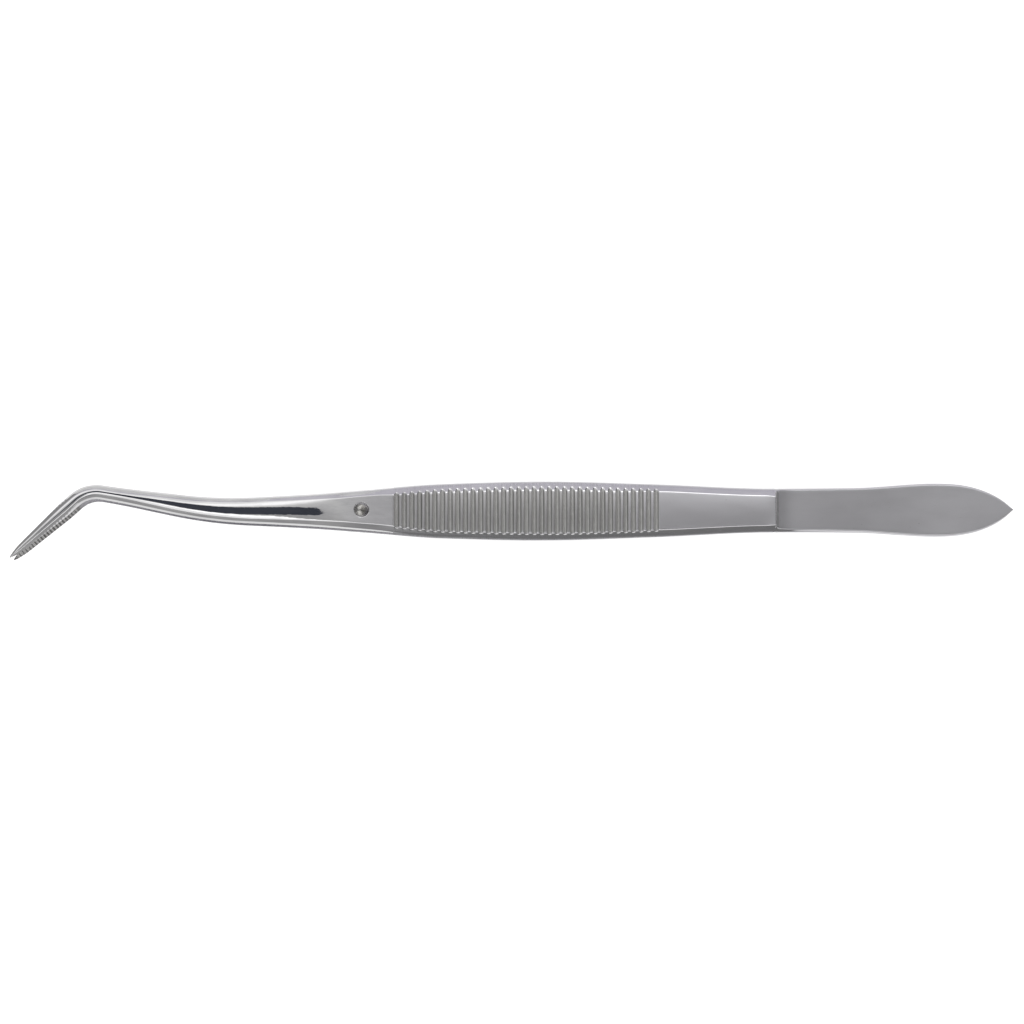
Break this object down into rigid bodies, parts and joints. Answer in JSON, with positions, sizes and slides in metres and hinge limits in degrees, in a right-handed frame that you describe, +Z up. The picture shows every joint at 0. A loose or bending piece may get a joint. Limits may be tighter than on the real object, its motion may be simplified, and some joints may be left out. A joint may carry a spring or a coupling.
{
  "type": "dental tweezers",
  "caption": "Steel tweezers with two sprung arms welded at a pointed butt, ribbed grips, a guide pin and slender angled tips with cross-notched jaws.",
  "frame": {"origin": "on the resting plane, under the handle's centre line, halfway along the smooth flat of the lower grip between the step and the ribs", "axes": "+X along the handle towards the butt, -X towards the tips, +Y across the arms away from the side that the tips bend to, +Z up, the way that the arms open"},
  "size_m": [0.1549, 0.0117, 0.013],
  "materials": {
    "arm_steel": "satin ground flats, matte ribs and polished shafts",
    "pin_steel": "turned"
  },
  "bodies": {
    "lower_arm": {"lower_arm": "arm_steel", "guide_pin": "pin_steel"},
    "upper_arm": {"upper_arm": "arm_steel"}
  },
  "joints": [
    {"name": "upper_arm_spring", "type": "hinge", "parent": "lower_arm", "child": "upper_arm", "pos_m": [0.02655, 0, 0.00342], "axis": [0, -1, 0], "range_deg": [0, 4.08], "stiffness_Nm_per_rad": 3, "springref_deg": -0.1}
  ]
}
